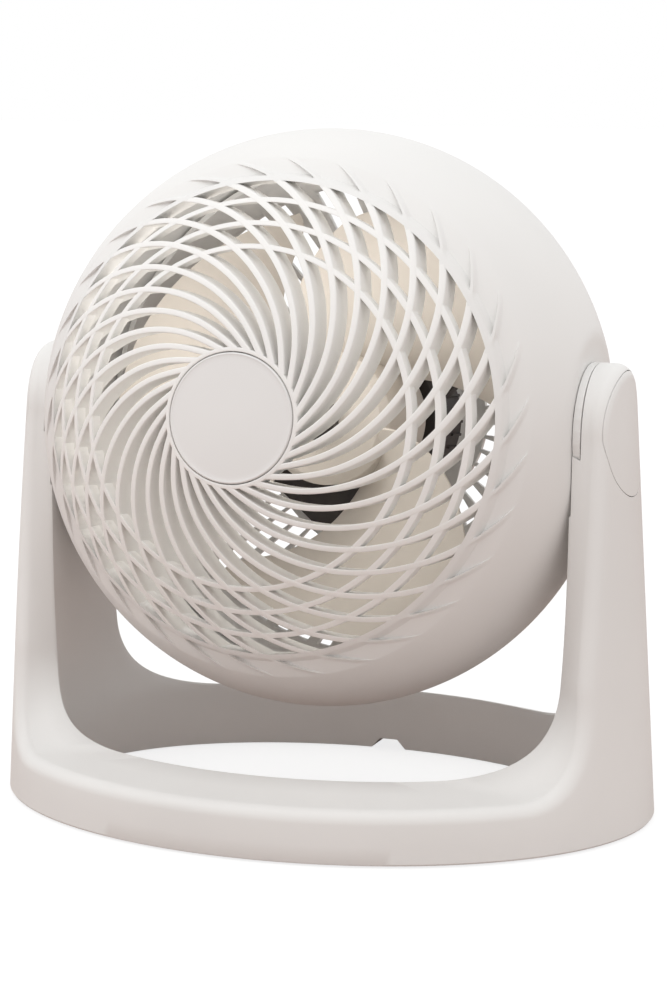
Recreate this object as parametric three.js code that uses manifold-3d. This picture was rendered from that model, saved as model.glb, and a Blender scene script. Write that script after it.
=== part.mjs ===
// Desktop air circulator fan, in millimetres, +Z up, front towards -Y.
// The origin lies on the table, in the middle of the stand's oval floor outline.
// A round head with a spiral lattice grille tilts between the two arms of an oval hoop stand.
import * as THREE from "three";
import { mergeVertices } from "three/addons/utils/BufferGeometryUtils.js";
import Module from "manifold-3d";

// ---------- driving dimensions ----------

// Running and fitting clearance between separate pieces.
const fit = 0.3;

// Stand: an oval ring on the floor that grows into two arms. Its width follows from the head's.
const baseHalfDepth = 89.3;
const armThickness = 14.3; // at the pivot
const armGap = 0.5; // between the arms and the head's flat sides
const outerLean = 8.4; // how far the outer wall leans in, sideways, up to the pivot
const outerLeanDepth = 1.2; // the same, front to back
const innerLean = 1.6; // how far the inner wall leans in, sideways, up to the pivot
const lipHeight = 24.5; // inner edge of the low front and rear walls
const lipDrop = 5; // how much lower their outer edge is
const pivotHeight = 138.6;
const armRadius = 24; // round top of an arm, about the pivot
const armFlatten = 120; // how much the arms' inner faces flatten out, up to the pivot
const armFootInner = 26.5; // half the arm's depth where its foot starts, on the inner face
const armFootSpread = 9.5; // how much wider the outer face is there
const armFootRadius = 30; // the curve from an arm down to the low walls
const edgeRadius = 5; // soft edge between the outer wall and the cut faces

// Underside of the stand.
const footGap = 0.8; // the ring stands this far off the table, on its feet
const coverThickness = 2;
const coverInset = 3; // from the ring's outline to the cover's
const footRadius = 6.5;
const footSink = 1.2; // how far a foot sits in the cover
const footAngles = [40, 140, 220, 320];
const notchBottomWidth = 15.5;
const notchTopWidth = 7;
const notchHeight = 3.6;

// Pivots.
const headPlay = 2; // room round the head's flat sides in the arms
const pivotDiscThickness = 2.5;
const pivotWall = 3.3; // the arm's wall that the pivot turns in
const pivotShaftRadius = 8;
const pivotSpigotRadius = 10;
const pivotSpigotLength = 6;
const capRadius = 21.5;
const capSkirt = 2.6;
const washerRadius = 14;
const washerThickness = 0.8;
const pivotScrewHeadRadius = 6;
const pivotScrewHeadHeight = 1.2;
const pivotScrewRadius = 2;
const pivotScrewLength = 8;

// Head: axial places ("u") run forward along the head's axis from the pivot.
const headTilt = 7.4; // degrees up, as the fan stands in the photograph
const headRadius = 103;
const flatDepth = 5.7; // how much the head's flat sides are cut back, for the arms
const rimPlane = -3.2; // u of the widest circle
const domeHeight = 96; // from the widest circle to the crown of the front dome
const backHeight = 84; // from the widest circle to the crown of the back
const skin = 2.6;
const partingPlane = -30; // where the rear cover meets the front housing

// Front grille: spiral ribs crossed by rings.
const ribCount = 30;
const ribWidth = 2;
const ribDepth = 12;
const ribLead = 0.852; // tangent of the rib's angle to the meridian, at the hub
const ribLeadGain = 0.239; // how the angle opens towards the rim
const ribPhase = 7.2; // degrees
const ringRadii = [57, 65.1, 73.3];
const ringWall = 1.8;
const ringDepth = 7;
const ringSink = 0.4; // how far the rings lie below the ribs' crests
const grilleRadius = 82; // outside of the last ring
const dimpleLength = 7; // how far the blind dimples run out beyond it
const dimpleDepth = 3.4;
const discRadius = 21.6;
const discThickness = 4;
const discCrown = 0.9;
const hubRimWall = 1.4;
const hubPlateThickness = 4;

// Rear cover: radial ribs in two zones round a closed middle.
const outerSlotCount = 60;
const innerSlotCount = 40;
const outerSlotFrom = 54;
const outerSlotTo = 87;
const innerSlotFrom = 35;
const innerSlotTo = 50;
const slotRib = 2.6; // width of the ribs between slots, at mid zone
const zoneRingWidth = 3;
const zoneRingProud = 0.6;
const rearFlatRadius = 31;
const coverTongue = 5;
const coverTongueWall = 1.8;
const coverEdge = 1.2; // the cover's rim stands this thick over the joint

// Speed knob, on the middle of the rear cover.
const knobRadius = 17;
const knobHeight = 9.4;
const knobGripWidth = 7;
const knobGripHeight = 5;
const knobEdge = 1;
const spindleRadius = 3;

// Motor.
const motorRadius = 28;
const motorEarReach = 46.2; // two ears stand out from the motor's front
const motorEarWidth = 30;
const motorEarThickness = 6;
const motorEarAngle = 50; // degrees from level
const motorFront = -50;
const motorLength = 24;
const motorEdge = 3;
const motorBossRadius = 15;
const motorBossHeight = 5;
const bearingRadius = 8;
const bearingWidth = 5;
const shaftRadius = 3;
const shaftInMotor = 20;
const mountRadius = 27; // ring on the rear cover that carries the motor
const mountWall = 6;
const switchWidth = 20;
const switchHeight = 5;

// Fan rotor.
const bladeCount = 3;
const bladeRadius = 79;
const bladeThickness = 1.4; // by which its middle is thicker than its edges
const bladeEdge = 0.8;
const bladeSetback = 15; // from the hub's front shoulder to the middle of the blades
const rotorHubRadius = 24;
const rotorHubLength = 44;
const rotorGap = 4; // between the motor's boss and the rotor
const rotorWall = 2.4;
const rotorSleeveRadius = 7;
const rotorCrown = 3;
const bladeRootWidth = 41; // along the blade's section, from edge to edge
const bladeTipWidth = 131;
const bladeRootHeight = 33; // along the axis
const bladeTipHeight = 43;
const bladeCamber = 0.06; // share of the section's width
const bladeSweep = -48; // degrees from the root to the tip
const bladePhase = 80;
const nutRadius = 8;
const nutHeight = 7;
const nutCap = 2;

// Sizes that follow from those above.
const headFlatX = headRadius - flatDepth;
const armInnerX = headFlatX + armGap;
const baseHalfWidth = armInnerX + armThickness + outerLean;
const ringWidth = baseHalfWidth - armInnerX - innerLean;
const dimpleRadius = grilleRadius + dimpleLength;
const through = 1; // how far a cutting or joining form runs past the face that it meets

// ---------- making solids ----------

const wasm = await Module();
wasm.setup();

const rad = THREE.MathUtils.degToRad;
const mix = THREE.MathUtils.lerp;

// A closed solid from a three.js geometry, whichever way its faces were wound.
function solidOf(geometry) {
  const bare = new THREE.BufferGeometry();
  bare.setAttribute("position", geometry.getAttribute("position"));
  bare.setIndex(geometry.index);
  const merged = mergeVertices(bare, 1e-4);
  const corners = merged.index.array;
  const kept = [];
  for (let i = 0; i < corners.length; i += 3) {
    const [a, b, c] = corners.slice(i, i + 3);
    if (a !== b && b !== c && c !== a) kept.push(a, b, c);
  }
  const vertProperties = merged.attributes.position.array;
  const build = (triVerts) =>
    new wasm.Manifold(new wasm.Mesh({ numProp: 3, vertProperties, triVerts }));
  const solid = build(new Uint32Array(kept));
  return solid.volume() > 0 ? solid : build(new Uint32Array(kept.reverse()));
}

function geometryOf(solid) {
  const mesh = solid.getMesh();
  const geometry = new THREE.BufferGeometry();
  geometry.setAttribute("position", new THREE.BufferAttribute(mesh.vertProperties, 3));
  geometry.setIndex(new THREE.BufferAttribute(mesh.triVerts, 1));
  geometry.computeVertexNormals();
  return geometry;
}

const union = (solids) => wasm.Manifold.union(solids);

// A profile of [radius, u] points, closed on itself, turned about the local Z axis.
function revolve(profile, segments = 30) {
  const points = [...profile, profile[0]].map(([r, u]) => new THREE.Vector2(r, u));
  return solidOf(new THREE.LatheGeometry(points, segments).rotateX(Math.PI / 2));
}

// A round bar or tube between two places on the local Z axis.
function bar(radius, from, to, segments = 24, bore = 0) {
  return revolve(
    [
      [bore, from],
      [radius, from],
      [radius, to],
      [bore, to],
    ],
    segments,
  );
}

function box(minX, maxX, minY, maxY, minZ, maxZ) {
  const geometry = new THREE.BoxGeometry(maxX - minX, maxY - minY, maxZ - minZ);
  geometry.translate((minX + maxX) / 2, (minY + maxY) / 2, (minZ + maxZ) / 2);
  return solidOf(geometry);
}

// A skin over equal sections, each a ring of Vector3, with flat ends unless it closes on itself.
function loft(sections, closed = false) {
  const around = sections[0].length;
  const positions = sections.flat().flatMap((p) => [p.x, p.y, p.z]);
  const index = [];
  const spans = closed ? sections.length : sections.length - 1;
  for (let i = 0; i < spans; i++) {
    const here = i * around;
    const there = ((i + 1) % sections.length) * around;
    for (let j = 0; j < around; j++) {
      const k = (j + 1) % around;
      index.push(here + j, here + k, there + k);
      index.push(here + j, there + k, there + j);
    }
  }
  if (!closed) {
    const last = (sections.length - 1) * around;
    for (const [a, b, c] of capOf(sections[0])) index.push(a, c, b);
    for (const [a, b, c] of capOf(sections.at(-1))) index.push(last + a, last + b, last + c);
  }
  const geometry = new THREE.BufferGeometry();
  geometry.setAttribute("position", new THREE.Float32BufferAttribute(positions, 3));
  geometry.setIndex(index);
  return solidOf(geometry);
}

// Triangles that fill one section, wound as the section is.
function capOf(section) {
  const normal = new THREE.Vector3();
  section.forEach((p, i) => normal.add(p.clone().cross(section[(i + 1) % section.length])));
  normal.normalize();
  const flat = new THREE.Quaternion().setFromUnitVectors(normal, new THREE.Vector3(0, 0, 1));
  const outline = section.map((p) => {
    const q = p.clone().applyQuaternion(flat);
    return new THREE.Vector2(q.x, q.y);
  });
  return THREE.ShapeUtils.triangulateShape(outline, []);
}

// A solid turned from the local Z axis to point along +X or -X, at the height of the pivot.
function alongX(solid, side) {
  return solid.rotate([0, side * 90, 0]).translate([0, 0, pivotHeight]);
}

const polar = (radius, degrees) => [
  radius * Math.cos(rad(degrees)),
  radius * Math.sin(rad(degrees)),
];

// ---------- materials ----------

function plastic(colour, roughness) {
  return new THREE.MeshStandardMaterial({ color: colour, roughness, metalness: 0 });
}

const finish = {
  shell: () => plastic(0xf1efea, 0.5),
  inner: () => plastic(0xe9e2d5, 0.5),
  disc: () => plastic(0xe6e6e3, 0.4),
  black: () => plastic(0x24211f, 0.6),
  rubber: () => plastic(0x4a4a4a, 0.9),
  steel: () => new THREE.MeshStandardMaterial({ color: 0xb9bcc0, roughness: 0.35, metalness: 1 }),
};

function piece(name, solid, material, parent) {
  const mesh = new THREE.Mesh(geometryOf(solid), material());
  mesh.name = name;
  parent.add(mesh);
  return mesh;
}

// ---------- stand ----------

const pivotShare = (z) => z / pivotHeight;
const outerOval = (z) => [
  baseHalfWidth - outerLean * pivotShare(z),
  baseHalfDepth - outerLeanDepth * pivotShare(z),
];
const innerOval = (z) => [
  baseHalfWidth - ringWidth - innerLean * pivotShare(z),
  baseHalfDepth - ringWidth + (armFlatten * Math.max(0, z - lipHeight)) / (pivotHeight - lipHeight),
];

// One place on the cut edge, in the side view: [outer depth, outer height, inner depth, inner height].
function edgePlaces() {
  const places = [];
  for (const degrees of [90, 70, 50, 30, 15]) {
    const [depth, rise] = polar(armRadius, degrees);
    places.push([depth, pivotHeight + rise, depth, pivotHeight + rise]);
  }
  const footHeight = lipHeight + armFootRadius;
  for (const share of [0, 0.33, 0.66]) {
    const z = mix(pivotHeight, footHeight, share);
    const inner = mix(armRadius, armFootInner, share);
    places.push([inner + armFootSpread * share, z, inner, z]);
  }
  const footDepth = armFootInner + armFootRadius;
  for (let degrees = 0; degrees <= 90; degrees += 18) {
    const [across, drop] = polar(armFootRadius, degrees);
    const inner = footDepth - across;
    const height = footHeight - drop;
    const [spread, fall] = [Math.cos(rad(degrees)), Math.sin(rad(degrees))];
    places.push([inner + armFootSpread * spread, height - lipDrop * fall, inner, height]);
  }
  const outerHeight = lipHeight - lipDrop;
  const outerFrom = Math.asin(footDepth / outerOval(outerHeight)[1]);
  const innerFrom = Math.asin(footDepth / innerOval(lipHeight)[1]);
  const lipSteps = 5;
  for (let i = 1; i <= lipSteps; i++) {
    const outer = outerOval(outerHeight)[1] * Math.sin(mix(outerFrom, Math.PI / 2, i / lipSteps));
    const inner = innerOval(lipHeight)[1] * Math.sin(mix(innerFrom, Math.PI / 2, i / lipSteps));
    places.push([outer, outerHeight, inner, lipHeight]);
  }
  return places;
}

// The place on an upright oval wall at a height, on the line through a given depth and height.
function onWall(oval, depth, height, z) {
  const angle = Math.asin(Math.min(1, depth / oval(height)[1]));
  const [halfWidth, halfDepth] = oval(z);
  return new THREE.Vector3(halfWidth * Math.cos(angle), halfDepth * Math.sin(angle), z);
}

// The wall section at each place: up the outer wall, over the soft edge, down the inner wall.
function wallSections() {
  const places = edgePlaces();
  const roundSteps = [90, 55, 25, 0];
  const columnShares = [1, 0.5, 0.2, 0];
  return places.map(([depth, height, innerDepth, innerHeight], i) => {
    const before = places[Math.max(0, i - 1)];
    const after = places[Math.min(places.length - 1, i + 1)];
    const along = new THREE.Vector2(after[0] - before[0], after[1] - before[1]);
    if (i === 0 || i === places.length - 1) along.set(1, 0);
    along.normalize();
    const intoWall = new THREE.Vector2(along.y, -along.x);
    const soft = roundSteps.map((degrees) => {
      const distance = edgeRadius * (1 - Math.cos(rad(degrees)));
      const draw = edgeRadius * (1 - Math.sin(rad(degrees)));
      const y = depth + intoWall.x * distance;
      const z = height + intoWall.y * distance;
      const point = onWall(outerOval, Math.max(0, y), z, z);
      const [halfWidth, halfDepth] = outerOval(z);
      const out = new THREE.Vector3(point.x / halfWidth ** 2, point.y / halfDepth ** 2, 0);
      return point.addScaledVector(out.normalize(), -draw);
    });
    const softStart = soft[0];
    const floor = onWall(outerOval, softStart.y, softStart.z, footGap);
    const inside = columnShares.map((share) =>
      onWall(innerOval, innerDepth, innerHeight, mix(footGap, innerHeight, share)),
    );
    return [floor, ...soft, ...inside];
  });
}

function standBody() {
  const quarter = wallSections();
  const turned = (section, sx, sy) => section.map((p) => new THREE.Vector3(p.x * sx, p.y * sy, p.z));
  const last = quarter.length - 1;
  const back = quarter.slice(1, last).reverse();
  return loft(
    [
      ...quarter.map((s) => turned(s, 1, 1)),
      ...back.map((s) => turned(s, -1, 1)),
      turned(quarter[0], -1, 1),
      ...quarter.slice(1).map((s) => turned(s, -1, -1)),
      ...back.map((s) => turned(s, 1, -1)),
    ],
    true,
  );
}

const body = standBody();
const sides = [
  ["right", 1],
  ["left", -1],
];
const onSide = (solid, side) => (side > 0 ? solid : solid.mirror([1, 0, 0]));

// The flat sides of the head are round, and turn close to the arms' inner faces.
const flatRadius = Math.sqrt(headRadius ** 2 - headFlatX ** 2);

// X places of the pivot's layers, from the head outwards.
const discFrom = headFlatX + fit;
const discTo = discFrom + pivotDiscThickness;
const armFace = discTo + fit;
const pocketFloor = armFace + pivotWall;
const washerFrom = pocketFloor + fit;
const screwHeadFrom = washerFrom + washerThickness + fit;
const capCeiling = screwHeadFrom + pivotScrewHeadHeight + fit;
const outermostX = baseHalfWidth;

const coverTop = footGap + coverThickness;

function ovalPlate(inset, widthIn, from, to) {
  const outline = new THREE.Shape();
  outline.absellipse(0, 0, baseHalfWidth - inset, baseHalfDepth - inset, 0, 2 * Math.PI);
  const hole = new THREE.Path();
  const holeWidth = baseHalfWidth - inset - widthIn;
  const holeDepth = baseHalfDepth - inset - widthIn;
  hole.absellipse(0, 0, holeWidth, holeDepth, 0, 2 * Math.PI);
  outline.holes.push(hole);
  const options = { depth: to - from, bevelEnabled: false, curveSegments: 20 };
  return solidOf(new THREE.ExtrudeGeometry(outline, options).translate(0, 0, from));
}

// A place on the middle line of the floor ring.
function onRing(degrees) {
  const inset = ringWidth / 2;
  const x = (baseHalfWidth - inset) * Math.cos(rad(degrees));
  const y = (baseHalfDepth - inset) * Math.sin(rad(degrees));
  return [x, y];
}

function cableNotch() {
  const shape = new THREE.Shape();
  shape.moveTo(-notchBottomWidth / 2, footGap - through);
  shape.lineTo(notchBottomWidth / 2, footGap - through);
  shape.lineTo(notchTopWidth / 2, footGap + notchHeight);
  shape.lineTo(-notchTopWidth / 2, footGap + notchHeight);
  const options = { depth: 2 * ringWidth, bevelEnabled: false };
  const prism = new THREE.ExtrudeGeometry(shape, options).rotateX(Math.PI / 2);
  return solidOf(prism.translate(0, baseHalfDepth + ringWidth / 2, 0));
}

const notch = cableNotch();

function standSolid() {
  let solid = body;
  for (const [, side] of sides) {
    const disc = alongX(bar(armRadius + 2 * fit, 0, armFace, 48), 1);
    const pocket = alongX(bar(capRadius + fit, pocketFloor, outermostX, 48), 1);
    const bore = alongX(bar(pivotShaftRadius + fit, armFace - through, pocketFloor + through), 1);
    const headWay = alongX(bar(flatRadius + headPlay, 0, headFlatX + fit, 30), 1);
    solid = solid.subtract(onSide(union([disc, pocket, bore, headWay]), side));
  }
  const coverSeat = ovalPlate(coverInset - fit, ringWidth - 2 * (coverInset - fit), 0, coverTop + fit);
  return solid.subtract(union([coverSeat, notch]));
}

function baseCover() {
  let solid = ovalPlate(coverInset, ringWidth - 2 * coverInset, footGap, coverTop);
  for (const degrees of footAngles) {
    const seat = bar(footRadius + fit, 0, footGap + footSink + fit, 18);
    solid = solid.subtract(seat.translate([...onRing(degrees), 0]));
  }
  return solid.subtract(notch);
}

// A cap follows the arm's own outer surface, with a skirt that stands in the pocket.
function pivotCap() {
  const plug = alongX(bar(capRadius, pocketFloor + fit, outermostX, 48), 1);
  const hollow = alongX(bar(capRadius - capSkirt, pocketFloor, capCeiling, 24), 1);
  return body.intersect(plug).subtract(hollow);
}

// ---------- head: shapes shared by its pieces ----------

// Height of the front dome and of the back, along the head's axis, at a distance from it.
const dome = (r, inset = 0) =>
  rimPlane + (domeHeight - inset) * Math.sqrt(Math.max(0, 1 - (r / (headRadius - inset)) ** 2));
const back = (r, inset = 0) =>
  rimPlane - (backHeight - inset) * Math.sqrt(Math.max(0, 1 - (r / (headRadius - inset)) ** 2));
// The radius of the back at a place behind the widest circle.
const backRadius = (u, inset = 0) =>
  (headRadius - inset) * Math.sqrt(1 - ((rimPlane - u) / (backHeight - inset)) ** 2);

// Points over the widest circle, from the back at radius r1 to the front at radius r2.
function overRim(r1, r2, inset, steps) {
  const from = -Math.acos(r1 / (headRadius - inset));
  const to = Math.acos(r2 / (headRadius - inset));
  return Array.from({ length: steps + 1 }, (_, i) => {
    const angle = mix(from, to, i / steps);
    const rise = angle < 0 ? backHeight - inset : domeHeight - inset;
    return [(headRadius - inset) * Math.cos(angle), rimPlane + rise * Math.sin(angle)];
  });
}

// Direction of a spiral rib, in degrees, where it crosses the radius r.
function ribAngle(r) {
  const latitude = Math.asin(r / headRadius);
  const turn = ribLead * Math.log(Math.tan(latitude / 2)) + ribLeadGain * latitude ** 2;
  return ribPhase + THREE.MathUtils.radToDeg(turn);
}

const ribPitch = 360 / ribCount;

function onHead(r, degrees, u) {
  const [x, y] = polar(r, degrees);
  return new THREE.Vector3(x, y, u);
}

// ---------- front shell: spiral lattice grille, rim and side wall in one moulding ----------

// One spiral rib: its crest lies in the dome, and its flanks run straight back.
function spiralRib(index) {
  const from = discRadius + fit + hubRimWall / 2;
  const to = grilleRadius - ringWall / 2;
  const steps = 4;
  const sections = Array.from({ length: steps + 1 }, (_, i) => {
    const r = mix(from, to, i / steps);
    const angle = ribAngle(r) + index * ribPitch;
    const lean = THREE.MathUtils.radToDeg(Math.atan(rad(ribAngle(r + 0.5) - ribAngle(r - 0.5)) * r));
    const centre = onHead(r, angle, 0);
    const across = onHead(1, angle + 90 + lean, 0);
    const left = centre.clone().addScaledVector(across, ribWidth / 2);
    const right = centre.clone().addScaledVector(across, -ribWidth / 2);
    const tuck = i === 0 || i === steps ? fit : 0;
    const crest = (place, depth) => place.clone().setZ(dome(Math.hypot(place.x, place.y)) - tuck - depth);
    return [crest(left, 0), crest(right, 0), crest(right, ribDepth), crest(left, ribDepth)];
  });
  return loft(sections);
}

// A ring that crosses the ribs, a little below their crests.
function grilleRing(radius) {
  const inner = radius - ringWall / 2;
  const outer = radius + ringWall / 2;
  return revolve(
    [
      [inner, dome(inner) - ringSink],
      [inner, dome(inner) - ringDepth],
      [outer, dome(outer) - ringDepth],
      [outer, dome(outer) - ringSink],
    ],
    ribCount,
  ).rotate([0, 0, ribAngle(radius)]);
}

// The hub that the ribs spring from, with a shallow seat for the disc.
function grilleHub() {
  const seat = dome(discRadius) - discThickness - fit;
  const hubRadius = discRadius + fit + hubRimWall;
  return revolve(
    [
      [0, seat],
      [0, seat - hubPlateThickness],
      [hubRadius, seat - hubPlateThickness],
      [hubRadius, dome(hubRadius)],
      [discRadius + fit, dome(discRadius + fit)],
      [discRadius + fit, seat],
    ],
    ribCount,
  );
}

function hubDisc() {
  const top = dome(discRadius);
  const foot = top - discThickness;
  return revolve(
    [
      [0, foot],
      [discRadius, foot],
      [discRadius, top - 0.4],
      [discRadius - 0.6, top],
      [discRadius * 0.7, top + discCrown * 0.55],
      [0, top + discCrown],
    ],
    40,
  );
}

// What lies between the head's flat sides, less a skin of the given inset.
function betweenFlats(inset) {
  const flat = headFlatX - inset;
  const far = 2 * headRadius;
  return box(-flat, flat, -far, far, -far, far);
}

// The head's outside, from the joint with the rear cover to the grille's last ring.
function headOutside(segments) {
  const edge = overRim(backRadius(partingPlane), dimpleRadius, 0, 6);
  const crest = dome(grilleRadius - ringWall);
  const lastRing = [
    [grilleRadius, dome(grilleRadius)],
    [grilleRadius - ringWall, crest],
    [0, crest],
  ];
  return revolve([[0, partingPlane], ...edge, ...lastRing], segments).intersect(betweenFlats(0));
}

// The hollow inside it, which leaves a thick band for the dimples and opens through the last ring.
function headInside(segments) {
  const bandEnd = dimpleRadius + 2 * ringWall;
  const edge = overRim(backRadius(partingPlane, skin), bandEnd, skin, 4);
  const [jointRadius] = edge[0];
  const opening = grilleRadius - ringWall;
  const hollow = revolve(
    [
      [0, partingPlane - through],
      [jointRadius, partingPlane - through],
      ...edge,
      [grilleRadius, dome(grilleRadius) - ribDepth],
      [opening, dome(opening) - ribDepth],
      [opening, domeHeight],
      [0, domeHeight],
    ],
    ribCount,
  );
  const tongueRoom = bar(jointRadius, partingPlane - through, partingPlane + coverTongue + fit, segments);
  return hollow.intersect(betweenFlats(skin)).add(tongueRoom);
}

// A blind dimple between two ribs, deepest at the last ring and running out into the dome.
function dimple(index) {
  const sections = [0, 1].map((share) => {
    const r = mix(grilleRadius, dimpleRadius, share);
    const half = THREE.MathUtils.radToDeg(ribWidth / 2 / r) * Math.SQRT2;
    const left = ribAngle(r) + index * ribPitch + half;
    const right = ribAngle(r) + (index + 1) * ribPitch - half;
    const floor = dome(r) - dimpleDepth * (1 - share);
    const above = dome(r) + dimpleDepth;
    return [onHead(r, left, floor), onHead(r, right, floor), onHead(r, right, above), onHead(r, left, above)];
  });
  return loft(sections);
}

function frontShell() {
  const around = 2 * ribCount;
  const dimples = Array.from({ length: ribCount }, (_, i) => dimple(i));
  const spigotHole = bar(pivotSpigotRadius + fit, -headRadius, headRadius, 20).rotate([0, 90, 0]);
  const wall = headOutside(around).subtract(union([headInside(around), spigotHole, ...dimples]));
  const ribs = Array.from({ length: ribCount }, (_, i) => spiralRib(i));
  const rings = ringRadii.map((r) => grilleRing(r));
  return union([wall, ...ribs, ...rings, grilleHub()]);
}

// ---------- rear cover: radial grille round a closed middle that carries the motor ----------

const coverFace = back(rearFlatRadius); // u of the cover's flat middle
const mountFace = motorFront - motorLength - fit; // u of the ring that the motor sits on

function slot(count, index, from, to) {
  const half = (Math.PI * (from + to)) / 2 / count - slotRib / 2;
  const cut = box(from, to, -half, half, coverFace - skin, partingPlane - coverEdge);
  return cut.rotate([0, 0, (index + 0.5) * (360 / count)]);
}

// A turned part of the cover with slots all round.
function slottedZone(profile, count, slotFrom, slotTo) {
  const slots = Array.from({ length: count }, (_, i) => slot(count, i, slotFrom, slotTo));
  return revolve(profile, count).subtract(union(slots));
}

function rearCover() {
  const tongueOuter = backRadius(partingPlane, skin) - fit;
  const tongueInner = tongueOuter - coverTongueWall;
  const edgeU = partingPlane - fit;
  const zoneRing = (outerSlotFrom + innerSlotTo) / 2;
  const outside = (r) => [r, back(r)];
  const inside = (r) => [r, back(r, skin)];
  const outerZone = slottedZone(
    [
      outside(zoneRing),
      inside(zoneRing),
      inside(outerSlotTo + 1),
      [tongueInner, partingPlane],
      [tongueInner, partingPlane + coverTongue],
      [tongueOuter, partingPlane + coverTongue],
      [tongueOuter, edgeU],
      [backRadius(edgeU), edgeU],
      outside(outerSlotTo + 1),
      outside((outerSlotFrom + outerSlotTo) / 2),
    ],
    outerSlotCount,
    outerSlotFrom,
    outerSlotTo,
  );
  const innerZone = slottedZone(
    [
      [0, coverFace],
      [0, coverFace + skin],
      [rearFlatRadius, coverFace + skin],
      inside(zoneRing),
      outside(zoneRing),
      [rearFlatRadius, coverFace],
    ],
    innerSlotCount,
    innerSlotFrom,
    innerSlotTo,
  );
  const ringFrom = zoneRing - zoneRingWidth / 2;
  const ringTo = zoneRing + zoneRingWidth / 2;
  const ring = revolve(
    [
      [ringFrom, back(ringFrom) - zoneRingProud],
      [ringTo, back(ringTo) - zoneRingProud],
      [ringTo, back(ringTo, skin) + zoneRingProud],
      [ringFrom, back(ringFrom, skin) + zoneRingProud],
    ],
    outerSlotCount,
  );
  const mount = bar(mountRadius, coverFace + skin / 2, mountFace, 30, mountRadius - mountWall);
  const spindleHole = bar(spindleRadius + fit, coverFace - through, coverFace + skin + through, 16);
  return union([outerZone, innerZone, ring, mount]).subtract(spindleHole);
}

// ---------- motor, switch and knob ----------

function motor() {
  const rear = motorFront - motorLength;
  const bossTop = motorFront + motorBossHeight;
  const cut = motorRadius - motorEdge;
  const solid = revolve(
    [
      [0, rear],
      [cut, rear],
      [motorRadius, rear + motorEdge],
      [motorRadius, motorFront - motorEdge],
      [motorRadius - motorEdge * 0.3, motorFront - motorEdge * 0.3],
      [cut, motorFront],
      [motorBossRadius, motorFront],
      [motorBossRadius, bossTop],
      [0, bossTop],
    ],
    30,
  );
  const halfWidth = motorEarWidth / 2;
  const earFrom = motorFront - motorEarThickness - motorEdge;
  const earTo = motorFront - motorEdge;
  const ears = box(-motorEarReach, motorEarReach, -halfWidth, halfWidth, earFrom, earTo);
  const bore = bar(shaftRadius + fit, bossTop - shaftInMotor - fit, bossTop + through, 16);
  const bearingSeat = bar(bearingRadius + fit, bossTop - bearingWidth - fit, bossTop + through, 20);
  return solid.add(ears.rotate([0, 0, motorEarAngle])).subtract(bore.add(bearingSeat));
}

function bearing() {
  const top = motorFront + motorBossHeight;
  return bar(bearingRadius, top - bearingWidth, top, 20, shaftRadius + fit);
}

function speedSwitch() {
  const from = coverFace + skin + fit;
  const half = switchWidth / 2;
  const hole = bar(spindleRadius + fit, from - through, from + switchHeight - through, 16);
  return box(-half, half, -half, half, from, from + switchHeight).subtract(hole);
}

// The knob is a low drum with a grip bar, on a spindle that reaches into the switch.
function speedKnob() {
  const foot = coverFace - fit;
  const drumTop = foot - knobHeight + knobGripHeight;
  const drum = revolve(
    [
      [0, foot],
      [knobRadius, foot],
      [knobRadius, drumTop + knobEdge],
      [knobRadius - knobEdge, drumTop],
      [0, drumTop],
    ],
    36,
  );
  const halfGrip = knobGripWidth / 2;
  const reach = knobRadius - 2;
  const grip = box(-reach, reach, -halfGrip, halfGrip, foot - knobHeight, drumTop + knobEdge);
  const spindle = bar(spindleRadius, foot - through, coverFace + skin + switchHeight / 2, 16);
  return union([drum, grip.intersect(bar(reach, foot - knobHeight, foot, 36)), spindle]);
}

// ---------- rotor ----------

const rotorRear = motorFront + motorBossHeight + rotorGap;
const rotorFront = rotorRear + rotorHubLength;
const shaftTip = rotorFront + rotorCrown + nutHeight - nutCap - fit;

function shaft() {
  return bar(shaftRadius, motorFront + motorBossHeight - shaftInMotor, shaftTip, 16);
}

function blade(index) {
  const from = rotorHubRadius - rotorWall;
  const steps = 5;
  const stations = [-0.5, -0.25, 0, 0.25, 0.5];
  const middleU = rotorFront - bladeSetback;
  const sections = Array.from({ length: steps + 1 }, (_, i) => {
    const share = i / steps;
    const r = mix(from, bladeRadius, share);
    const middle = bladePhase + index * (360 / bladeCount) + bladeSweep * share;
    const width = mix(bladeRootWidth, bladeTipWidth, share);
    const pitch = Math.asin(mix(bladeRootHeight, bladeTipHeight, share) / width);
    const face = (side) =>
      stations.map((place) => {
        const along = place * width;
        const camber = bladeCamber * width * (1 - 4 * place ** 2);
        const thick = (side * bladeThickness * (1 - Math.abs(place))) / 2 + (side * bladeEdge) / 2;
        const around = along * Math.cos(pitch) - (camber + thick) * Math.sin(pitch);
        const axial = along * Math.sin(pitch) + (camber + thick) * Math.cos(pitch);
        return onHead(r, middle + THREE.MathUtils.radToDeg(around / r), middleU + axial);
      });
    return [...face(-1), ...face(1).reverse()];
  });
  return loft(sections);
}

function fanRotor() {
  const hub = revolve(
    [
      [shaftRadius + fit, rotorRear],
      [rotorSleeveRadius, rotorRear],
      [rotorSleeveRadius, rotorFront - rotorWall],
      [rotorHubRadius - rotorWall, rotorFront - rotorWall],
      [rotorHubRadius - rotorWall, rotorRear],
      [rotorHubRadius, rotorRear],
      [rotorHubRadius, rotorFront - rotorCrown],
      [rotorHubRadius - rotorCrown, rotorFront],
      [nutRadius + 1, rotorFront + rotorCrown],
      [shaftRadius + fit, rotorFront + rotorCrown],
    ],
  );
  const blades = Array.from({ length: bladeCount }, (_, i) => blade(i));
  return union([hub, ...blades]);
}

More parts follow.
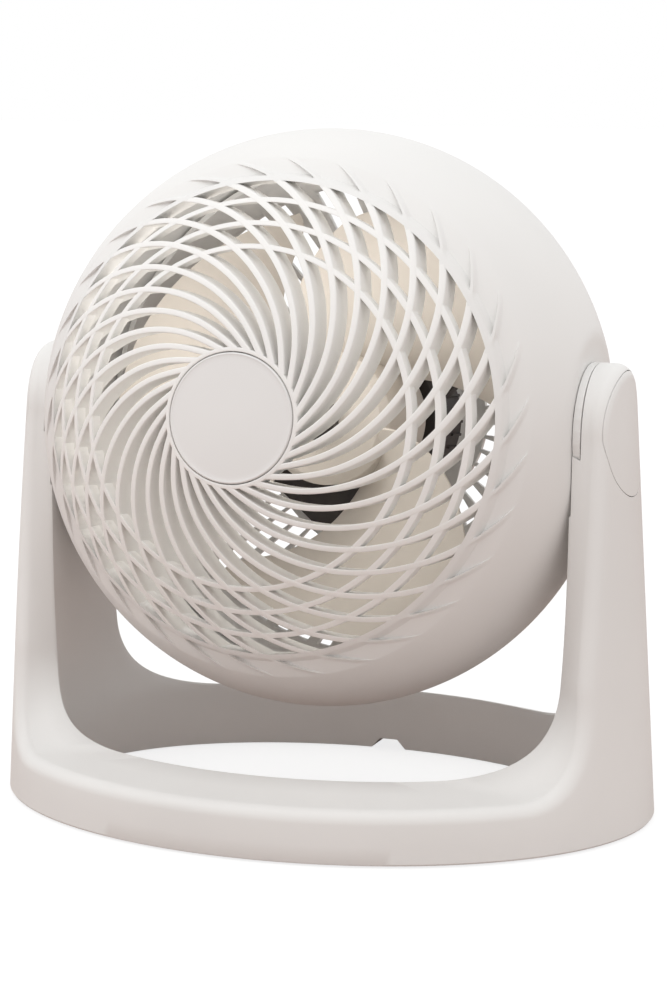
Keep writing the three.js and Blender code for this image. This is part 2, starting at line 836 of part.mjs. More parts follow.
// A cap nut with two flats holds the rotor on its shaft.
function rotorNut() {
  const from = rotorFront + rotorCrown + fit;
  const cap = revolve(
    [
      [0, from],
      [nutRadius, from],
      [nutRadius, from + nutHeight - nutCap],
      [nutRadius - nutCap, from + nutHeight],
      [0, from + nutHeight],
    ],
    6,
  );
  return cap.subtract(bar(shaftRadius + fit, from - 1, shaftTip + fit, 16));
}

// ---------- tilting pivots ----------

// A disc between head and arm: its spigot stands in the head, its shaft turns in the arm.
function pivotDisc() {
  const spigot = bar(pivotSpigotRadius, discFrom - pivotSpigotLength, discFrom + through, 20);
  const plate = bar(armRadius, discFrom, discTo, 36);
  const axle = bar(pivotShaftRadius, discTo - through, pocketFloor + fit / 2, 20);
  const screwTip = pocketFloor + fit - pivotScrewLength;
  const bore = bar(pivotScrewRadius + fit, screwTip, pocketFloor + through, 12);
  return union([spigot, plate, axle]).subtract(bore);
}

function frictionWasher() {
  return bar(washerRadius, washerFrom, washerFrom + washerThickness, 20, pivotScrewRadius + fit);
}

function pivotScrew() {
  const screwHead = bar(pivotScrewHeadRadius, screwHeadFrom, screwHeadFrom + pivotScrewHeadHeight, 20);
  const tip = pocketFloor - pivotScrewLength + 2 * fit;
  return screwHead.add(bar(pivotScrewRadius, tip, screwHeadFrom + through, 10));
}

// ---------- assembly ----------

const fan = new THREE.Group();
const stand = new THREE.Group();
const head = new THREE.Group();
head.position.z = pivotHeight;
head.rotation.x = Math.PI / 2 - rad(headTilt);
fan.add(stand, head);

piece("stand", standSolid(), finish.shell, stand);
piece("base_cover", baseCover(), finish.shell, stand);
footAngles.forEach((degrees, i) => {
  const foot = bar(footRadius, 0, footGap + footSink, 18);
  piece("foot_" + (i + 1), foot.translate([...onRing(degrees), 0]), finish.rubber, stand);
});
for (const [name, side] of sides) {
  piece("pivot_cap_" + name, onSide(pivotCap(), side), finish.shell, stand);
  // The pivot pieces keep still in the head's frame, and lie on its tilting axis.
  const level = (solid) => solid.rotate([0, side * 90, 0]);
  piece("pivot_disc_" + name, level(pivotDisc()), finish.shell, head);
  piece("friction_washer_" + name, level(frictionWasher()), finish.black, head);
  piece("pivot_screw_" + name, level(pivotScrew()), finish.steel, head);
}

piece("front_shell", frontShell(), finish.shell, head);
piece("hub_disc", hubDisc(), finish.disc, head);
piece("rear_cover", rearCover(), finish.shell, head);
piece("motor", motor(), finish.black, head);
piece("motor_bearing", bearing(), finish.steel, head);
piece("speed_switch", speedSwitch(), finish.black, head);
piece("speed_knob", speedKnob(), finish.shell, head);
piece("rotor_shaft", shaft(), finish.steel, head);
piece("fan_rotor", fanRotor(), finish.inner, head);
piece("rotor_nut", rotorNut(), finish.black, head);

export default fan;
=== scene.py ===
import math

import bmesh
import bpy
import numpy as np
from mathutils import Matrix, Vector


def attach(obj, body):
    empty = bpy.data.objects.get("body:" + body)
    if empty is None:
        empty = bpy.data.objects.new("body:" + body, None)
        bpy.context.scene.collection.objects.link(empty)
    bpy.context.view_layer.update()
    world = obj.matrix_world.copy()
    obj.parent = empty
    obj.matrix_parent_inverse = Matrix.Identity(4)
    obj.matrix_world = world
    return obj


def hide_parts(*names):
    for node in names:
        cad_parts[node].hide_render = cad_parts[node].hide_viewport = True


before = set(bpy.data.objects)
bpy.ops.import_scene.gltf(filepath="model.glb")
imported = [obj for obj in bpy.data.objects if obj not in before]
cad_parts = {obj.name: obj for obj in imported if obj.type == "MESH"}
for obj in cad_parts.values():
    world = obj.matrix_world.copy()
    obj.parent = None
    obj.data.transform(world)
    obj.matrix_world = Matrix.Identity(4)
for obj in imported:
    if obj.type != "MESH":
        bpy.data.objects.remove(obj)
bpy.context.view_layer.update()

# ---------- sizes in millimetres, as in the CAD source ----------

MM = 0.001
FIT = 0.3
PIVOT = 138.6
TILT = math.radians(7.4)

HEAD_R, RIM_U, DOME_H, BACK_H, SKIN = 103.0, -3.2, 96.0, 84.0, 2.6
FLAT_X = 97.3
PART_U = -30.0
RIBS, RIB_W, RIB_D = 30, 2.0, 12.0
LEAD, GAIN, PHASE = 0.852, 0.239, 7.2
HUB_TURN, HUB_FADE = 4.5, 2.2
RINGS, RING_W, RING_D = (57.0, 65.1, 73.3), 1.8, 7.0
GRILLE_R, DIMPLE_R, DIMPLE_D = 82.0, 89.0, 3.4
DISC_R, DISC_T, CROWN = 21.6, 4.0, 0.9
HUB_WALL, HUB_PLATE = 1.4, 4.0

BASE_A, BASE_B, RING_WIDTH = 120.5, 89.3, 21.1
OUT_LEAN, OUT_LEAN_D, IN_LEAN = 8.4, 1.2, 1.6
LIP_H, LIP_DROP = 24.5, 5.0
ARM_R, ARM_FLATTEN, ARM_FOOT, ARM_SPREAD, ARM_FOOT_R = 24.0, 120.0, 26.5, 9.5, 30.0
EDGE_R = 5.0
FOOT_GAP = 0.8


# a hair off the axis, where a turned profile starts
AXIS = 0.01
SHAFT_BORE, STAND_BORE = 3.3, 8.3

# ---------- mesh tools ----------

def mesh_object(name, verts, faces, smooth_angle=35.0):
    mesh = bpy.data.meshes.new(name)
    mesh.from_pydata([tuple(v) for v in verts], [], [tuple(f) for f in faces])
    mesh.validate()
    bm = bmesh.new()
    bm.from_mesh(mesh)
    bmesh.ops.remove_doubles(bm, verts=bm.verts, dist=1e-7)
    bmesh.ops.recalc_face_normals(bm, faces=bm.faces)
    bm.to_mesh(mesh)
    bm.free()
    obj = bpy.data.objects.new(name, mesh)
    bpy.context.scene.collection.objects.link(obj)
    soften(obj, smooth_angle)
    return obj


def soften(obj, angle=35.0):
    for polygon in obj.data.polygons:
        polygon.use_smooth = True
    obj.data.set_sharp_from_angle(angle=math.radians(angle))


def full_turn(steps):
    """Angles of one whole turn, without its end."""
    return np.linspace(0, 2 * math.pi, steps, endpoint=False)


class Builder:
    """Collects vertices and faces of one piece, in millimetres."""

    def __init__(self):
        self.verts = []
        self.faces = []

    def grid(self, rows, wrap=False, close=False):
        """Faces over rows. wrap joins each row's ends, close joins the last row to the first."""
        base = len(self.verts)
        n = len(rows[0])
        for row in rows:
            self.verts.extend(row)
        count = len(rows) if close else len(rows) - 1
        for i in range(count):
            here, there = base + i * n, base + ((i + 1) % len(rows)) * n
            for j in range(n if wrap else n - 1):
                k = (j + 1) % n
                self.faces.append((here + j, here + k, there + k, there + j))
        return base

    def cap(self, ring):
        base = len(self.verts)
        self.verts.extend(ring)
        self.faces.append(tuple(range(base, base + len(ring))))

    def tube(self, rings, caps=True):
        self.grid(rings, wrap=True)
        if caps:
            self.cap(rings[0])
            self.cap(rings[-1])

    def turn(self, profile, steps, closed=True):
        """A profile of (radius, u) points turned about the head's axis."""
        rows = []
        for r, u in profile:
            rows.append([(r * math.cos(a), r * math.sin(a), u) for a in full_turn(steps)])
        self.grid(rows, wrap=True, close=closed)

    def make(self, name, place, smooth_angle=35.0):
        verts = [place(*v) for v in self.verts]
        return mesh_object(name, verts, self.faces, smooth_angle)


def on_head(x, y, u):
    """Head coordinates (x, up, forward along the axis) to the frame, in metres."""
    return (
        x * MM,
        (y * math.sin(TILT) - u * math.cos(TILT)) * MM,
        (PIVOT + y * math.cos(TILT) + u * math.sin(TILT)) * MM,
    )


def level(x, y, z):
    return (x * MM, y * MM, z * MM)


def rounded(points, radius, steps=4):
    """An open 2-D line with its inner corners rounded."""
    out = [points[0]]
    for a, b, c in zip(points, points[1:], points[2:]):
        a, b, c = np.array(a, float), np.array(b, float), np.array(c, float)
        u, v = a - b, c - b
        lu, lv = np.linalg.norm(u), np.linalg.norm(v)
        if lu < 1e-9 or lv < 1e-9:
            out.append(tuple(b))
            continue
        u, v = u / lu, v / lv
        angle = math.acos(max(-1, min(1, float(u @ v))))
        if angle > math.radians(176):
            out.append(tuple(b))
            continue
        reach = min(radius / math.tan(angle / 2), 0.48 * lu, 0.48 * lv)
        for t in np.linspace(0, 1, steps + 1):
            p = (1 - t) ** 2 * (b + u * reach) + 2 * t * (1 - t) * b + t ** 2 * (b + v * reach)
            out.append(tuple(p))
    out.append(points[-1])
    return out


def ring_round(points, radius, steps=4):
    """A closed 2-D line with all its corners rounded."""
    start = ((np.array(points[0], float) + np.array(points[-1], float)) / 2).tolist()
    return rounded([start, *points, start], radius, steps)[:-1]


# ---------- head forms ----------

def dome(r, inset=0.0):
    return RIM_U + (DOME_H - inset) * math.sqrt(max(0.0, 1 - (r / (HEAD_R - inset)) ** 2))


def back(r, inset=0.0):
    return RIM_U - (BACK_H - inset) * math.sqrt(max(0.0, 1 - (r / (HEAD_R - inset)) ** 2))


def back_r(u, inset=0.0):
    return (HEAD_R - inset) * math.sqrt(max(0.0, 1 - ((RIM_U - u) / (BACK_H - inset)) ** 2))


def rib_angle(r):
    """Radians at which a spiral rib crosses the radius r."""
    latitude = math.asin(min(1.0, r / HEAD_R))
    near_hub = HUB_TURN * math.exp((22.0 - r) / HUB_FADE)
    return math.radians(PHASE - near_hub) + LEAD * math.log(math.tan(latitude / 2)) + GAIN * latitude ** 2


def soft_flat(x, limit=FLAT_X, blend=0.9):
    """x held inside the head's flat sides, with a small round at their edge."""
    a = abs(x)
    h = max(0.0, blend - abs(a - limit)) / blend
    return math.copysign(min(a, limit) - h * h * blend / 4, x)


PITCH = 2 * math.pi / RIBS


def smoothstep(a, b, x):
    t = min(1.0, max(0.0, (x - a) / (b - a)))
    return t * t * (3 - 2 * t)


def front_shell():
    b = Builder()
    # the band between the last ring and the smooth wall, with a dimple between each two ribs
    radii = list(np.linspace(GRILLE_R - RING_W, GRILLE_R, 4))
    radii += list(np.linspace(GRILLE_R + 0.25, DIMPLE_R + 2.5, 26))
    columns = 20
    rows = []
    for r in radii:
        row = []
        for k in range(RIBS * columns):
            share = (k % columns) / columns
            angle = rib_angle(r) + (k // columns + share) * PITCH
            edge = min(share, 1 - share) * PITCH * r
            wall = RIB_W / 2 * 1.35
            inside = smoothstep(wall - 0.35, wall + 0.55, edge)
            start = smoothstep(GRILLE_R - 0.1, GRILLE_R + 0.9, r)
            run = max(0.0, 1 - (r - GRILLE_R) / (DIMPLE_R - GRILLE_R))
            sink = DIMPLE_D * run * inside * start
            row.append((r * math.cos(angle), r * math.sin(angle), dome(r) - sink))
        rows.append(row)
    b.grid(rows, wrap=True)
    # the smooth wall from the band over the widest circle to the joint
    last = radii[-1]
    start = math.acos(last / HEAD_R)
    stop = -math.acos(back_r(PART_U) / HEAD_R)
    rows = [rows[-1]]
    for angle in np.linspace(start, stop, 72)[1:]:
        r = HEAD_R * math.cos(angle)
        u = RIM_U + (DOME_H if angle > 0 else BACK_H) * math.sin(angle)
        row = []
        for k in range(RIBS * columns):
            a = rib_angle(last) + k / columns * PITCH
            row.append((soft_flat(r * math.cos(a)), r * math.sin(a), u))
        rows.append(row)
    # round the joint's edge and back up the inside of the wall to the last ring
    inner_start = -math.asin((RIM_U - PART_U) / (BACK_H - SKIN))
    inner_stop = math.acos((GRILLE_R - RING_W) / (HEAD_R - SKIN))
    for angle in np.linspace(inner_start, inner_stop, 40):
        r = (HEAD_R - SKIN) * math.cos(angle)
        u = RIM_U + ((DOME_H if angle > 0 else BACK_H) - SKIN) * math.sin(angle)
        row = []
        for k in range(RIBS * columns):
            a = rib_angle(last) + k / columns * PITCH
            row.append((soft_flat(r * math.cos(a), FLAT_X - SKIN), r * math.sin(a), u))
        rows.append(row)
    b.grid(rows, wrap=True)
    # the last ring
    inner, outer = GRILLE_R - RING_W, GRILLE_R
    corners = [
        (inner, dome(inner)),
        (inner, dome(inner) - RIB_D),
        (outer, dome(outer) - RIB_D),
        (outer + 3, dome(outer + 3) - 6),
        (outer, dome(outer) - 0.6),
    ]
    b.turn(ring_round(corners, 0.35, 3), 360)
    # the three inner rings
    for radius in RINGS:
        inner, outer = radius - RING_W / 2, radius + RING_W / 2
        corners = [
            (inner, dome(inner) - 0.15),
            (inner + 0.15, dome(inner) - RING_D),
            (outer - 0.15, dome(outer) - RING_D),
            (outer, dome(outer) - 0.15),
        ]
        b.turn(ring_round(corners, 0.5, 4), 300)
    # the hub with the disc's seat
    seat = dome(DISC_R) - DISC_T - FIT
    hub_r = DISC_R + FIT + HUB_WALL
    line = [
        (AXIS, seat),
        (DISC_R + FIT, seat),
        (DISC_R + FIT, dome(DISC_R + FIT)),
        (hub_r, dome(hub_r)),
        (hub_r, seat - HUB_PLATE),
        (AXIS, seat - HUB_PLATE),
    ]
    b.turn(rounded(line, 0.4, 4), 180, closed=False)
    # the spiral ribs
    start, stop, steps = DISC_R + FIT + HUB_WALL / 2, GRILLE_R - RING_W / 2, 64
    radii = np.linspace(start, stop, steps + 1)
    half = RIB_W / 2
    section = ring_round([(-half, 0.0), (half, 0.0), (half * 0.8, -RIB_D), (-half * 0.8, -RIB_D)], 0.55, 4)
    for index in range(RIBS):
        rings = []
        for r in radii:
            angle = rib_angle(r) + index * PITCH
            slope = (rib_angle(r + 0.1) - rib_angle(r - 0.1)) / 0.2 * r
            lean = angle + math.pi / 2 + math.atan(slope)
            cx, cy = r * math.cos(angle), r * math.sin(angle)
            ring = []
            for side, depth in section:
                x, y = cx + math.cos(lean) * side, cy + math.sin(lean) * side
                ring.append((x, y, dome(math.hypot(x, y)) + depth))
            rings.append(ring)
        b.tube(rings)
    return b.make("front_shell_fine", on_head)


def hub_disc():
    b = Builder()
    top = dome(DISC_R)
    line = [(0.005, top + CROWN)]
    for share in np.linspace(0.08, 0.955, 14):
        line.append((DISC_R * share, top + CROWN * (1 - share ** 2)))
    # the raised lip at the edge, then the side and the underside
    line += [(DISC_R - 0.75, top + 0.13), (DISC_R - 0.55, top + 0.22), (DISC_R - 0.2, top + 0.1)]
    line += [(DISC_R, top - 0.3), (DISC_R, top - DISC_T), (0.005, top - DISC_T)]
    b.turn(line, 200, closed=False)
    return b.make("hub_disc_fine", on_head, 50)


# ---------- rear cover ----------

SLOT_RIB = 2.6
OUT_SLOTS, IN_SLOTS = 60, 40
OUT_FROM, OUT_TO, IN_FROM, IN_TO = 54.0, 87.0, 35.0, 50.0
REAR_FLAT = 31.0
TONGUE, TONGUE_WALL = 5.0, 1.8


def slotted(b, count, r0, r1):
    """Radial bars between r0 and r1, in the skin of the back."""
    half_gap = math.pi * (r0 + r1) / 2 / count - SLOT_RIB / 2
    for i in range(count):
        a = 2 * math.pi * i / count
        rings = []
        for r in np.linspace(r0 - 1.2, r1 + 1.2, 12):
            half = math.pi / count * r - half_gap
            half = max(0.35, half)
            ring = []
            for side, depth in ring_round([(-half, 0.0), (half, 0.0), (half, 1.0), (-half, 1.0)], 0.3, 2):
                inset = SKIN * depth
                x, y = r, side
                rr = math.hypot(x, y)
                u = back(rr, 0.0) * (1 - depth) + back(rr, SKIN) * depth
                ring.append((x * math.cos(a) - y * math.sin(a), x * math.sin(a) + y * math.cos(a), u))
            rings.append(ring)
        b.tube(rings)


def rear_cover():
    b = Builder()
    tongue_out = back_r(PART_U, SKIN) - FIT
    tongue_in = tongue_out - TONGUE_WALL
    edge_u = PART_U - FIT
    span = np.linspace(OUT_TO, back_r(edge_u), 14)
    outside = [(r, back(r)) for r in span]
    outside[-1] = (back_r(edge_u), edge_u)
    line = [(r, back(r, SKIN)) for r in np.linspace(OUT_TO, tongue_in - 1, 8)]
    line += [(tongue_in, PART_U), (tongue_in, PART_U + TONGUE)]
    line += [(tongue_out, PART_U + TONGUE), (tongue_out, edge_u)]
    line += outside[::-1]
    rows = []
    for r, u in line:
        rows.append([(soft_flat(r * math.cos(a)), r * math.sin(a), u) for a in full_turn(360)])
    b.grid(rows, wrap=True, close=True)
    slotted(b, OUT_SLOTS, OUT_FROM, OUT_TO)
    slotted(b, IN_SLOTS, IN_FROM, IN_TO)
    middle = (OUT_FROM + IN_TO) / 2
    line = [(r, back(r) - 0.5) for r in (middle - 2, middle, middle + 2)]
    line += [(r, back(r, SKIN) + 0.5) for r in (middle + 2, middle, middle - 2)]
    b.turn(ring_round(line, 0.5, 3), 240)
    face = back(REAR_FLAT)
    line = [(SHAFT_BORE, face), (REAR_FLAT - 1, face)]
    line += [(r, back(r)) for r in np.linspace(REAR_FLAT + 1, IN_FROM, 5)]
    line += [(IN_FROM, back(IN_FROM, SKIN)), (REAR_FLAT, face + SKIN), (SHAFT_BORE, face + SKIN)]
    b.turn(line, 200)
    # the round wall that the motor's rear end stands on
    mount = MOTOR_FRONT - MOTOR_L - FIT
    b.turn([(21.0, face + 1), (27.0, face + 1), (27.0, mount), (21.0, mount)], 120)
    return b.make("rear_cover_fine", on_head)


# ---------- rotor ----------

BLADES, BLADE_R = 3, 79.0
BLADE_T, BLADE_EDGE, CAMBER = 1.4, 0.8, 0.06
ROOT_WIDTH, TIP_WIDTH, ROOT_RISE, TIP_RISE = 41.0, 131.0, 33.0, 43.0
SWEEP, BLADE_PHASE, SETBACK = -48.0, 80.0, 15.0
# share of the blade's width by which its clockwise edge goes past the CAD blade
EDGE_REACH = 0.04
HUB_R, HUB_L, ROTOR_WALL, SLEEVE_R, ROTOR_CROWN = 24.0, 44.0, 2.4, 7.0, 3.0
MOTOR_FRONT, MOTOR_L, BOSS_H, ROTOR_GAP = -50.0, 24.0, 5.0, 4.0
ROTOR_REAR = MOTOR_FRONT + BOSS_H + ROTOR_GAP
ROTOR_FRONT = ROTOR_REAR + HUB_L


def fan_rotor():
    b = Builder()
    inner = HUB_R - ROTOR_WALL
    line = [(SHAFT_BORE, ROTOR_REAR), (SLEEVE_R, ROTOR_REAR), (SLEEVE_R, ROTOR_FRONT - ROTOR_WALL),
            (inner, ROTOR_FRONT - ROTOR_WALL), (inner, ROTOR_REAR), (HUB_R, ROTOR_REAR),
            (HUB_R, ROTOR_FRONT - ROTOR_CROWN), (HUB_R - ROTOR_CROWN, ROTOR_FRONT),
            (9.0, ROTOR_FRONT + ROTOR_CROWN), (SHAFT_BORE, ROTOR_FRONT + ROTOR_CROWN)]
    b.turn(ring_round(line, 1.2, 4), 120)
    middle_u = ROTOR_FRONT - SETBACK
    stations = np.linspace(-0.5 - EDGE_REACH, 0.5, 25)
    for index in range(BLADES):
        rings = []
        for share in np.linspace(0, 1, 40):
            r = inner + (BLADE_R - inner) * share
            middle = math.radians(BLADE_PHASE + index * 360 / BLADES + SWEEP * share)
            full = ROOT_WIDTH + (TIP_WIDTH - ROOT_WIDTH) * share
            pitch = math.asin((ROOT_RISE + (TIP_RISE - ROOT_RISE) * share) / full)
            # the blade's corners are rounded off towards its tip
            width = full * (1 - 0.12 * max(0.0, (share - 0.8) / 0.2) ** 2)

            def face(side):
                points = []
                for place in stations:
                    along = place * width
                    camber = CAMBER * width * (1 - 4 * place ** 2)
                    thick = side * (BLADE_T * math.sqrt(max(0.0, 1 - (2 * place) ** 2)) + BLADE_EDGE) / 2
                    around = along * math.cos(pitch) - (camber + thick) * math.sin(pitch)
                    axial = along * math.sin(pitch) + (camber + thick) * math.cos(pitch)
                    a = middle + around / r
                    points.append((r * math.cos(a), r * math.sin(a), middle_u + axial))
                return points
            rings.append(face(-1) + face(1)[::-1])
        b.tube(rings)
    return b.make("fan_rotor_fine", on_head)


# ---------- motor ----------

MOTOR_R, MOTOR_EDGE, BOSS_R = 28.0, 3.0, 15.0
EAR_REACH, EAR_WIDTH, EAR_T, EAR_ANGLE = 46.2, 30.0, 6.0, math.radians(50)
BEARING_R = 8.0
BEARING_SEAT, BORE_DEPTH = 5.3, 20.3
COOLING_RIBS = 36


def motor():
    b = Builder()
    rear, top = MOTOR_FRONT - MOTOR_L, MOTOR_FRONT + BOSS_H
    line = [(AXIS, rear), (MOTOR_R - MOTOR_EDGE, rear), (MOTOR_R, rear + MOTOR_EDGE),
            (MOTOR_R, MOTOR_FRONT - MOTOR_EDGE), (MOTOR_R - MOTOR_EDGE, MOTOR_FRONT),
            (BOSS_R + 1, MOTOR_FRONT), (BOSS_R, MOTOR_FRONT + 1), (BOSS_R, top),
            (BEARING_R + FIT, top), (BEARING_R + FIT, top - BEARING_SEAT),
            (SHAFT_BORE, top - BEARING_SEAT), (SHAFT_BORE, top - BORE_DEPTH), (AXIS, top - BORE_DEPTH)]
    b.turn(rounded(line, 1.0, 4), 120, closed=False)
    # cooling ribs round the can
    for index in range(COOLING_RIBS):
        a = 2 * math.pi * index / COOLING_RIBS
        rings = []
        for u in (rear + MOTOR_EDGE + 1, MOTOR_FRONT - MOTOR_EDGE - EAR_T - 1):
            ring = []
            for along, out in ((-0.7, -0.5), (0.7, -0.5), (0.45, 0.9), (-0.45, 0.9)):
                x, y = MOTOR_R + out, along
                ring.append((x * math.cos(a) - y * math.sin(a), x * math.sin(a) + y * math.cos(a), u))
            rings.append(ring)
        b.tube(rings)
    # the bar whose two ends are the ears that carry it
    half = EAR_WIDTH / 2
    top_u = MOTOR_FRONT - MOTOR_EDGE
    corners = [(-EAR_REACH, -half), (EAR_REACH, -half), (EAR_REACH, half), (-EAR_REACH, half)]
    outline = ring_round(corners, 2.5, 6)
    c, sn = math.cos(EAR_ANGLE), math.sin(EAR_ANGLE)
    rings = []
    for inset, u in ((0, top_u - EAR_T), (0, top_u - 0.6), (0.18, top_u - 0.18), (0.6, top_u)):
        ring = []
        for x, y in outline:
            along, across = x * (1 - inset / EAR_REACH), y * (1 - inset / half)
            ring.append((along * c - across * sn, along * sn + across * c, u))
        rings.append(ring)
    b.tube(rings)
    return b.make("motor_fine", on_head)


def motor_rings():
    """Fine turned rings of bright steel on the motor's boss, round the bearing."""
    b = Builder()
    top = MOTOR_FRONT + BOSS_H
    line = [(BEARING_R + 0.6, top - 0.2)]
    for r in np.arange(BEARING_R + 0.9, BOSS_R - 1.2, 1.3):
        line += [(r, top + 0.05), (r + 0.25, top + 0.55), (r + 0.55, top + 0.55), (r + 0.8, top + 0.05)]
    line += [(BOSS_R - 0.8, top - 0.2), (BOSS_R - 0.8, top - 0.6), (BEARING_R + 0.6, top - 0.6)]
    b.turn(line, 120)
    return b.make("motor_rings", on_head, 60)


# ---------- stand ----------

def outer_oval(z):
    return BASE_A - OUT_LEAN * z / PIVOT, BASE_B - OUT_LEAN_D * z / PIVOT


def inner_oval(z):
    rise = max(0.0, z - LIP_H) / (PIVOT - LIP_H)
    return BASE_A - RING_WIDTH - IN_LEAN * z / PIVOT, BASE_B - RING_WIDTH + ARM_FLATTEN * rise


def on_wall(oval, depth, height, z):
    angle = math.asin(min(1.0, max(-1.0, depth / oval(height)[1])))
    a, c = oval(z)
    return np.array((a * math.cos(angle), c * math.sin(angle), z))


def edge_places():
    places = []
    for degrees in np.linspace(90, 0, 25)[:-1]:
        d, z = ARM_R * math.cos(math.radians(degrees)), PIVOT + ARM_R * math.sin(math.radians(degrees))
        places.append((d, z, d, z))
    foot_h = LIP_H + ARM_FOOT_R
    for share in np.linspace(0, 1, 22)[:-1]:
        z = PIVOT + (foot_h - PIVOT) * share
        inner = ARM_R + (ARM_FOOT - ARM_R) * share
        places.append((inner + ARM_SPREAD * share, z, inner, z))
    foot_d = ARM_FOOT + ARM_FOOT_R
    for degrees in np.linspace(0, 90, 28):
        t = math.radians(degrees)
        inner = foot_d - ARM_FOOT_R * math.cos(t)
        height = foot_h - ARM_FOOT_R * math.sin(t)
        places.append((inner + ARM_SPREAD * math.cos(t), height - LIP_DROP * math.sin(t), inner, height))
    out_h = LIP_H - LIP_DROP
    out_from = math.asin(foot_d / outer_oval(out_h)[1])
    in_from = math.asin(foot_d / inner_oval(LIP_H)[1])
    for share in np.linspace(0, 1, 30)[1:]:
        outer = outer_oval(out_h)[1] * math.sin(out_from + (math.pi / 2 - out_from) * share)
        inner = inner_oval(LIP_H)[1] * math.sin(in_from + (math.pi / 2 - in_from) * share)
        places.append((outer, out_h, inner, LIP_H))
    return places


def wall_sections():
    places = edge_places()
    sections = []
    for i, (depth, height, in_depth, in_height) in enumerate(places):
        before, after = places[max(0, i - 1)], places[min(len(places) - 1, i + 1)]
        along = np.array((after[0] - before[0], after[1] - before[1]))
        if i in (0, len(places) - 1):
            along = np.array((1.0, 0.0))
        along = along / np.linalg.norm(along)
        into = np.array((along[1], -along[0]))
        soft = []
        for degrees in (90, 78, 66, 54, 42, 30, 18, 8, 0):
            t = math.radians(degrees)
            distance, draw = EDGE_R * (1 - math.cos(t)), EDGE_R * (1 - math.sin(t))
            y, z = depth + into[0] * distance, height + into[1] * distance
            point = on_wall(outer_oval, max(0.0, y), z, z)
            a, c = outer_oval(z)
            out = np.array((point[0] / a ** 2, point[1] / c ** 2, 0.0))
            soft.append(point - out / np.linalg.norm(out) * draw)
        floor_top = on_wall(outer_oval, soft[0][1], soft[0][2], FOOT_GAP + 0.6)
        floor = on_wall(outer_oval, soft[0][1], soft[0][2], FOOT_GAP)
        floor[:2] *= 0.996
        middle = on_wall(outer_oval, soft[0][1], soft[0][2], soft[0][2] * 0.5)
        inner_top = on_wall(inner_oval, in_depth, in_height, in_height)
        below = on_wall(inner_oval, in_depth, in_height, in_height - 0.9)
        band = inner_top - soft[-1]
        edge = soft[-1] + band * max(0.0, 1 - 1.1 / np.linalg.norm(band))
        roll = (edge + below + 2 * inner_top) / 4
        band_mid = (soft[-1] + edge) / 2
        drop = in_height - 0.9 - FOOT_GAP
        inside = [
            on_wall(inner_oval, in_depth, in_height, FOOT_GAP + drop * share)
            for share in np.linspace(1, 0, 12)
        ]
        sections.append([floor, floor_top, middle, *soft, band_mid, edge, roll, *inside])
    return sections


def stand_shape(b):
    quarter = wall_sections()

    def turned(section, sx, sy):
        return [(p[0] * sx, p[1] * sy, p[2]) for p in section]

    back_part = quarter[1:-1][::-1]
    rows = [turned(s, 1, 1) for s in quarter]
    rows += [turned(s, -1, 1) for s in back_part]
    rows += [turned(quarter[0], -1, 1)]
    rows += [turned(s, -1, -1) for s in quarter[1:]]
    rows += [turned(s, 1, -1) for s in back_part]
    b.grid(rows, wrap=True, close=True)


def cylinder_x(radius, x0, x1, steps=128, height=PIVOT):
    b = Builder()
    rings = []
    for x in (x0, x1):
        ring = [(x, radius * math.cos(a), height + radius * math.sin(a)) for a in full_turn(steps)]
        rings.append(ring)
    b.tube(rings)
    return b.make("cutter", level)


def boolean(obj, other, operation):
    """Applies a boolean with another object, which is then removed."""
    modifier = obj.modifiers.new("cut", "BOOLEAN")
    modifier.operation = operation
    modifier.solver = "EXACT"
    modifier.object = other
    bpy.context.view_layer.update()
    made = bpy.data.meshes.new_from_object(obj.evaluated_get(bpy.context.evaluated_depsgraph_get()))
    obj.modifiers.clear()
    old = obj.data
    obj.data = made
    bpy.data.meshes.remove(old)
    bpy.data.objects.remove(other)


DISC_FROM = FLAT_X + FIT
DISC_TO = DISC_FROM + 2.5
ARM_FACE = DISC_TO + FIT
POCKET = ARM_FACE + 3.3
CAP_R = 21.5
CUT_FROM = 60
NOTCH_FLOOR, NOTCH_TOP, NOTCH_H = 7.75, 3.5, 3.6


def stand():
    b = Builder()
    stand_shape(b)
    obj = b.make("stand_fine", level)
    flat_r = math.sqrt(HEAD_R ** 2 - FLAT_X ** 2)
    for side in (1, -1):
        boolean(obj, cylinder_x(ARM_R + 2 * FIT, side * CUT_FROM, side * ARM_FACE), "DIFFERENCE")
        boolean(obj, cylinder_x(flat_r + 2, side * CUT_FROM, side * (FLAT_X + FIT)), "DIFFERENCE")
        boolean(obj, cylinder_x(CAP_R + FIT, side * POCKET, side * BASE_A), "DIFFERENCE")
        boolean(obj, cylinder_x(STAND_BORE, side * CUT_FROM, side * BASE_A, 48), "DIFFERENCE")
    # the cable notch at the foot of the rear wall
    notch = Builder()
    below, above = FOOT_GAP - 1, FOOT_GAP + NOTCH_H
    rings = []
    for y in (64.0, 96.0):
        floor_line = [(-NOTCH_FLOOR, y, below), (NOTCH_FLOOR, y, below)]
        rings.append(floor_line + [(NOTCH_TOP, y, above), (-NOTCH_TOP, y, above)])
    notch.tube(rings)
    boolean(obj, notch.make("cutter", level), "DIFFERENCE")
    soften(obj, 32)
    return obj


def pivot_cap(side):
    b = Builder()
    stand_shape(b)
    name = "pivot_cap_fine_right" if side > 0 else "pivot_cap_fine_left"
    obj = b.make(name, level)
    boolean(obj, cylinder_x(CAP_R, side * (POCKET + FIT), side * BASE_A), "INTERSECT")
    soften(obj, 32)
    return obj


# ---------- materials ----------

GRAIN_SCALE, MOTTLE = 2600.0, 0.03


